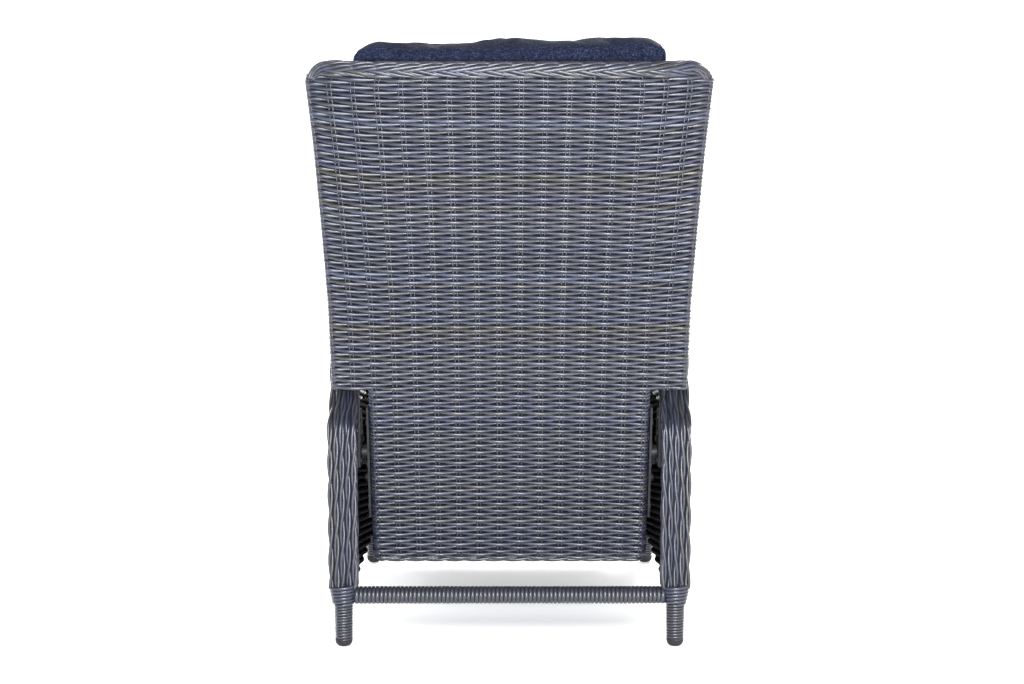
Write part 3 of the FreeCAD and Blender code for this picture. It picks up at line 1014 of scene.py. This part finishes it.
# Its top edge seen from behind: offset to the right, and height up the back.
CREST_ACROSS = (-0.290, -0.282, -0.270, -0.255, -0.235, -0.180, -0.124, -0.070, -0.017, 0.030, 0.078, 0.140,
                0.216, 0.250, 0.268, 0.281, 0.288)
CREST_V = (0.608, 0.626, 0.641, 0.651, 0.6575, 0.6545, 0.6500, 0.6535, 0.6645, 0.6605, 0.6560, 0.6605,
           0.6655, 0.6625, 0.6540, 0.6380, 0.618)
CREST_LIFT = 0.007

# The stitches along its channels: thread and reach.
THREAD_R = 0.0006
STITCH_HALF = 0.262

# The seat cushion's buttons: where they are, how far they pull it in, and their outline as radius and rise.
BUTTON_X = (-0.14, 0.0, 0.14)
BUTTON_Y = (-0.21, -0.02)
BUTTON_PULL = 0.010
BUTTON_DIP = 0.004
BUTTON_OUTLINE = ((0.010, -0.001), (0.0105, 0.002), (0.008, 0.004), (0.004, 0.005), (0.0003, 0.0052))
SEAT_CROWN = 0.010
SEAT_HALF = 0.283


def copy_node(node, name):
    source = frame["nodes"][node]
    mesh = source.data.copy()
    mesh.name = name
    piece = bpy.data.objects.new(name, mesh)
    bpy.context.scene.collection.objects.link(piece)
    mesh.materials.clear()
    return piece


def apply_modifiers(piece):
    graph = bpy.context.evaluated_depsgraph_get()
    fresh = bpy.data.meshes.new_from_object(piece.evaluated_get(graph))
    piece.modifiers.clear()
    piece.data = fresh


def get_points(piece):
    co = np.empty(len(piece.data.vertices) * 3, np.float32)
    piece.data.vertices.foreach_get("co", co)
    return co.reshape(-1, 3).astype(float)


def set_points(piece, co):
    piece.data.vertices.foreach_set("co", co.astype(np.float32).ravel())
    piece.data.update()


def inflate(piece):
    """Blows the cushion up with a cloth simulation. Returns its points and how far each moved, capped."""
    remesh = piece.modifiers.new("remesh", "REMESH")
    remesh.mode = "VOXEL"
    remesh.voxel_size = VOXEL
    apply_modifiers(piece)
    rest = get_points(piece)
    cloth = piece.modifiers.new("cloth", "CLOTH")
    cloth.settings.use_pressure = True
    cloth.settings.uniform_pressure_force = 4.0
    cloth.settings.effector_weights.gravity = 0.0
    cloth.settings.quality = 5
    cloth.point_cache.frame_end = CLOTH_FRAMES
    for number in range(1, CLOTH_FRAMES + 1):
        bpy.context.scene.frame_set(number)
    graph = bpy.context.evaluated_depsgraph_get()
    moved_mesh = piece.evaluated_get(graph).to_mesh()
    co = np.empty(len(moved_mesh.vertices) * 3, np.float32)
    moved_mesh.vertices.foreach_get("co", co)
    piece.modifiers.clear()
    bpy.context.scene.frame_set(1)
    shift = co.reshape(-1, 3).astype(float) - rest
    size = np.linalg.norm(shift, axis=1, keepdims=True)
    shift *= np.minimum(1.0, MOST_SHIFT / np.maximum(size, 1e-9))
    return rest, shift


def finish_cushion(piece, hides, body):
    soften = piece.modifiers.new("soften", "SMOOTH")
    soften.factor = 0.5
    soften.iterations = 4
    subdivide = piece.modifiers.new("smooth", "SUBSURF")
    subdivide.levels = 1
    apply_modifiers(piece)
    piece.data.materials.clear()
    piece.data.materials.append(CLOTH)
    piece.data.polygons.foreach_set("use_smooth", np.ones(len(piece.data.polygons), bool))
    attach(piece, body)
    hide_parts(hides)


def into_back(co):
    """From the object's frame to the back's own."""
    dy = co[:, 1] - BACK_Y
    dz = co[:, 2] - BACK_Z
    w = dy * math.cos(LEAN) - dz * math.sin(LEAN)
    v = dy * math.sin(LEAN) + dz * math.cos(LEAN)
    return np.column_stack([co[:, 0], w, v])


def bump_at(value, centre, width):
    """1 at the centre, falling off as a bell."""
    return np.exp(-((value - centre) / width) ** 2)


def smooth_step(value, start, width):
    """Rises smoothly from 0 at start to 1 a width further on."""
    t = np.clip((value - start) / width, 0.0, 1.0)
    return t * t * (3.0 - 2.0 * t)


def back_half(v):
    """Half width of the back cushion."""
    return BACK_HALF_LOW + (BACK_HALF_TOP - BACK_HALF_LOW) * (v - BACK_LOW) / (BACK_TOP - BACK_LOW)


def shape_crest(local):
    """Brings the top edge to the crest line, keeping the lower part where it is."""
    x = local[:, 0]
    v = local[:, 2]
    edges = np.linspace(-0.292, 0.292, 60)
    highest = np.full(len(edges), 0.60)
    nearest = np.clip(np.round((x - edges[0]) / (edges[1] - edges[0])).astype(int), 0, len(edges) - 1)
    np.maximum.at(highest, nearest, v)
    highest[1:-1] = 0.25 * highest[:-2] + 0.5 * highest[1:-1] + 0.25 * highest[2:]
    lift = CREST_LIFT + np.interp(-x, CREST_ACROSS, CREST_V) - np.interp(x, edges, highest)
    local[:, 2] = v + smooth_step(v, 0.54, 0.09) * np.clip(lift, -0.030, 0.035)
    corner = np.clip((np.abs(x) - 0.245) / 0.045, 0.0, 1.0) * np.clip((v - 0.585) / 0.060, 0.0, 1.0)
    local[:, 0] = x - np.sign(x) * 0.003 * corner ** 2


def build_back_cushion():
    piece = copy_node("back_cushion", "back_cushion_cover")
    rest, shift = inflate(piece)
    local = into_back(rest)
    moved = into_back(rest + shift) - local
    x, w, v = local.T
    # It is flat where it rests on the panel, and held in by the arms low down.
    free = np.clip((0.0 - w) / 0.03, 0.0, 1.0)
    moved[:, 1] = np.where(w > -0.030, np.minimum(moved[:, 1], 0.0) * free, moved[:, 1])
    sideways = np.clip((v - 0.17) / 0.10, 0.25, 1.0)
    moved[:, 0] = np.clip(moved[:, 0] * sideways, -0.006 * sideways, 0.006 * sideways)
    moved[:, 2] = np.where(v < 0.03, np.maximum(moved[:, 2], -0.002), moved[:, 2])
    local = local + moved
    x, w, v = local.T
    front = np.clip((-0.030 - w) / 0.040, 0.0, 1.0)
    half = back_half(v)
    across = np.clip(1.0 - (np.abs(x) / half) ** 6, 0.0, 1.0)
    for centre in BACK_CHANNELS:
        local[:, 1] += front * across * CHANNEL_DEPTH * bump_at(v, centre, CHANNEL_WIDTH)
    crown = CROWN * np.sqrt(np.clip(1.0 - (x / half) ** 2, 0.0, 1.0))
    bounds = np.array((BACK_LOW,) + BACK_CHANNELS + (BACK_TOP,))
    panel = np.clip(np.searchsorted(bounds, v) - 1, 0, len(bounds) - 2)
    along = np.clip((v - bounds[panel]) / (bounds[panel + 1] - bounds[panel]), 0.0, 1.0)
    puff = PUFF * np.sin(math.pi * along) ** 0.8
    local[:, 1] -= front * (crown + across * puff - 0.004)
    rear = np.clip((w + 0.050) / 0.040, 0.0, 1.0)
    shape_crest(local)
    # The top edge has a fold near its middle, on its rear side.
    near_top = np.clip((v - 0.59) / 0.06, 0.0, 1.0)
    local[:, 2] -= near_top * rear * 0.011 * bump_at(x, 0.010, 0.050)
    ripple = 0.0012 * np.sin(x * 95.0 + 2.0 * np.sin(v * 11.0)) * bump_at(v % 0.170, 0.145, 0.045)
    local[:, 1] += front * across * ripple
    set_points(piece, lean(*local.T))
    finish_cushion(piece, "back_cushion", "back")
    return piece


def build_seat_cushion():
    piece = copy_node("seat_cushion", "seat_cushion_cover")
    rest, shift = inflate(piece)
    low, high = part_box("seat_cushion")
    shift[:, 0] = np.clip(shift[:, 0], -0.0035, 0.0035)
    shift[:, 1] = np.clip(shift[:, 1], -0.012, 0.0020)
    bottom = rest[:, 2] < low[2] + 0.030
    shift[:, 2] = np.where(bottom, np.maximum(shift[:, 2], 0.0), shift[:, 2])
    top = np.clip((rest[:, 2] - low[2] - 0.040) / 0.040, 0.0, 1.0)
    across = np.clip(1.0 - (rest[:, 0] / SEAT_HALF) ** 4, 0.0, 1.0)
    middle = (low[1] + high[1]) / 2
    deep = np.clip(1.0 - ((rest[:, 1] - middle) / SEAT_HALF) ** 4, 0.0, 1.0)
    shift[:, 2] = np.where(top > 0, np.clip(shift[:, 2], -0.004, 0.016), shift[:, 2])
    shift[:, 2] += top * (SEAT_CROWN * across * deep - 0.007)
    # Its rear end is lower, under the back cushion.
    rear = np.clip((rest[:, 1] - 0.10) / 0.06, 0.0, 1.0)
    shift[:, 2] -= top * rear * 0.008
    for y in BUTTON_Y:
        for x in BUTTON_X:
            far = np.hypot(rest[:, 0] - x, rest[:, 1] - y)
            pull = BUTTON_PULL * bump_at(far, 0.0, 0.020) + BUTTON_DIP * bump_at(far, 0.0, 0.06)
            shift[:, 2] -= top * pull
    set_points(piece, rest + shift)
    finish_cushion(piece, "seat_cushion", "frame")
    return piece


def snapped(piece, guide, lift):
    """Moves a guide line to lie lift outside the cushion. Returns its points and the normals there."""
    tree = BVHTree.FromObject(piece, bpy.context.evaluated_depsgraph_get())
    path = []
    normals = []
    for p in guide:
        hit, normal, _, _ = tree.find_nearest(Vector(p))
        path.append(hit + normal * lift)
        normals.append(normal)
    return np.array(path), np.array(normals)


def smooth_loop(path, times=3):
    for _ in range(times):
        path = 0.25 * np.roll(path, 1, 0) + 0.5 * path + 0.25 * np.roll(path, -1, 0)
    return path


def round_rect(a, b, r, n=320):
    """Points round a rectangle of half sizes a and b with corner radius r."""
    corners = []
    for cx, cy, start in ((a - r, b - r, 0), (r - a, b - r, 90), (r - a, r - b, 180), (a - r, r - b, 270)):
        for d in np.linspace(0, 90, 8):
            t = math.radians(start + d)
            corners.append((cx + r * math.cos(t), cy + r * math.sin(t)))
    corners.append(corners[0])
    return spread(corners, n, endpoint=False)


def piping(name, piece, guides, body):
    """Lays a round cord of cloth on the cushion along each guide."""
    bundle = Bundle()
    for guide in guides:
        path, normal = snapped(piece, guide, 0.0010)
        bundle.strand(smooth_loop(path), normal, PIPING_R, PIPING_R, 8, closed=True)
    bundle.build(name, CLOTH, body)


def dress_back_cushion(piece):
    mid_v = (BACK_TOP + BACK_LOW) / 2
    half_v = (BACK_TOP - BACK_LOW) / 2
    guides = []
    for w in (-0.088, 0.0):
        ring = round_rect(1.0, half_v + 0.002, 0.03)
        v = mid_v + ring[:, 1]
        x = ring[:, 0] * (back_half(v) + 0.002)
        guides.append(lean(x, np.full_like(x, w), v))
    piping("back_cushion_piping", piece, guides, "back")
    bundle = Bundle()
    for centre in BACK_CHANNELS:
        x = np.linspace(-STITCH_HALF, STITCH_HALF, 200)
        guide = lean(x, np.full_like(x, -0.100), np.full_like(x, centre))
        path, normal = snapped(piece, guide, 0.0)
        for i in range(0, len(x) - 1, 2):
            bundle.strand(path[i:i + 2], normal[i:i + 2], THREAD_R, THREAD_R, 5)
    bundle.build("back_channel_stitches", CLOTH, "back")


def dress_seat_cushion(piece):
    low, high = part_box("seat_cushion")
    cy = (low[1] + high[1]) / 2
    guides = []
    for z in (low[2] + 0.014, high[2] - 0.010):
        ring = round_rect((high[0] - low[0]) / 2 + 0.001, (high[1] - low[1]) / 2 + 0.004, 0.045)
        guides.append(np.column_stack([ring[:, 0], cy + ring[:, 1], np.full(len(ring), z)]))
    piping("seat_cushion_piping", piece, guides, "frame")
    buttons = Bundle()
    for y in BUTTON_Y:
        for x in BUTTON_X:
            centre, _ = snapped(piece, [(x, y, high[2] + 0.05)], 0.0)
            buttons.sheet(centre[0] + lathe(BUTTON_OUTLINE, 16), wrap=True)
    buttons.build("seat_cushion_buttons", CLOTH, "frame")


# ---- stage

def area_light(name, place, target, size, power, colour=(1, 1, 1)):
    data = bpy.data.lights.new(name, "AREA")
    data.size = size
    data.energy = power
    data.color = colour
    lamp = bpy.data.objects.new(name, data)
    lamp.location = place
    lamp.rotation_euler = (Vector(target) - Vector(place)).to_track_quat("-Z", "Y").to_euler()
    bpy.context.scene.collection.objects.link(lamp)


def plain_sheet(name, size, place, turn, glow):
    """A square of white paper that gives off a little light."""
    bpy.ops.mesh.primitive_plane_add(size=size, location=place, rotation=turn)
    sheet = bpy.context.object
    sheet.name = name
    mat, tree, bsdf = shader(name + "_paper", 0.95)
    tex = noise(tree, 3.0)
    paint(tree, bsdf, tex.outputs["Fac"], [(0.3, (0.90, 0.90, 0.90)), (0.7, (0.92, 0.92, 0.92))])
    bsdf.inputs["Emission Color"].default_value = (1.0, 1.0, 1.0, 1.0)
    bsdf.inputs["Emission Strength"].default_value = glow
    sheet.data.materials.append(mat)


def build_stage():
    bpy.context.scene.view_settings.view_transform = "Standard"
    plain_sheet("studio_floor", 120.0, (0, 0, 0), (0, 0, 0), 0.40)
    plain_sheet("studio_wall", 120.0, (0, -12.0, 0), (math.radians(90), 0, 0), 0.90)
    world = bpy.data.worlds.new("studio")
    world.use_nodes = True
    world.node_tree.nodes["Background"].inputs["Color"].default_value = (0.97, 0.98, 1.0, 1.0)
    world.node_tree.nodes["Background"].inputs["Strength"].default_value = 0.34
    bpy.context.scene.world = world
    area_light("key", (0.5, 3.9, 2.1), (0, 0.2, 0.35), 1.0, 160, (0.90, 0.93, 1.0))
    area_light("fill", (-2.6, 2.4, 1.4), (0, 0.1, 0.4), 2.0, 22, (1.0, 0.97, 0.94))
    area_light("low", (-0.4, 3.4, 0.65), (0, 0.25, 0.10), 1.1, 120, (0.95, 0.96, 1.0))
    area_light("front", (-1.3, -3.0, 2.5), (0, 0, 0.5), 1.5, 130)
    area_light("front_side", (2.6, -2.0, 1.5), (0, 0, 0.4), 1.6, 55, (0.96, 0.98, 1.0))


def place_camera():
    data = bpy.data.cameras.new("camera")
    data.lens = 54.9
    camera = bpy.data.objects.new("camera", data)
    camera.location = (0.0, 3.20, 0.88)
    aim = Vector((-0.005, 0.2, 0.579))
    camera.rotation_euler = (aim - camera.location).to_track_quat("-Z", "Y").to_euler()
    bpy.context.scene.collection.objects.link(camera)
    bpy.context.scene.camera = camera


def main():
    dress_cad()
    build_upper()
    build_lower()
    build_rim()
    for side, tag in ((1, "left"), (-1, "right")):
        build_arm(side, tag)
    build_wound()
    build_footrest()
    build_apron()
    dress_back_cushion(build_back_cushion())
    dress_seat_cushion(build_seat_cushion())
    build_stage()
    place_camera()


main()
